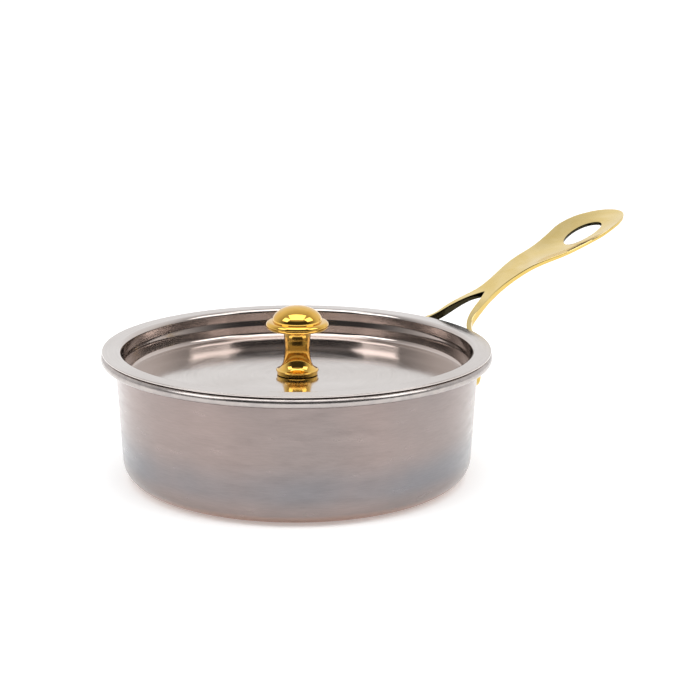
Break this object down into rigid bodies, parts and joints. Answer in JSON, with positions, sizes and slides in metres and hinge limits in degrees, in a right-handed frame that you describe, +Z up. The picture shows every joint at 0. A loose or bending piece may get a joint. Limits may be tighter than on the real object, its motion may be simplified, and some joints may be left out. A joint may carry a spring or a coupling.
{
  "type": "saucepan with lid",
  "caption": "Round copper saucepan with a steel lining, a forked brass handle riveted to its wall, and a sunk lift-off lid with a turned brass knob.",
  "frame": {"origin": "centre of the pan's base, on the pan's axis, where it stands", "axes": "+X out along the handle, +Z up"},
  "size_m": [0.2923, 0.177, 0.1039],
  "materials": {
    "pan_copper": "copper, brushed round the pan, with a thin grey-brown patina",
    "lid_copper": "copper, satin polished, with a thin grey-brown patina",
    "lining_steel": "stainless steel, polished at the rim and finely brushed inside",
    "handle_brass": "cast brass, polished, with soft hand-finished edges",
    "rivet_brass": "brass, hammered and polished",
    "knob_brass": "turned brass, mirror polished",
    "fastener_steel": "stainless steel, satin"
  },
  "bodies": {
    "pan": {"pan_jacket": "pan_copper", "pan_lining": "lining_steel", "handle": "handle_brass", "rivet_left": "rivet_brass", "rivet_right": "rivet_brass"},
    "lid": {"lid": "lid_copper", "knob": "knob_brass", "knob_screw": "fastener_steel", "knob_washer": "fastener_steel"}
  },
  "joints": [
    {"name": "lid_lift", "type": "slide", "parent": "pan", "child": "lid", "axis": [0, 0, 1], "range_m": [0, 0.08]}
  ]
}
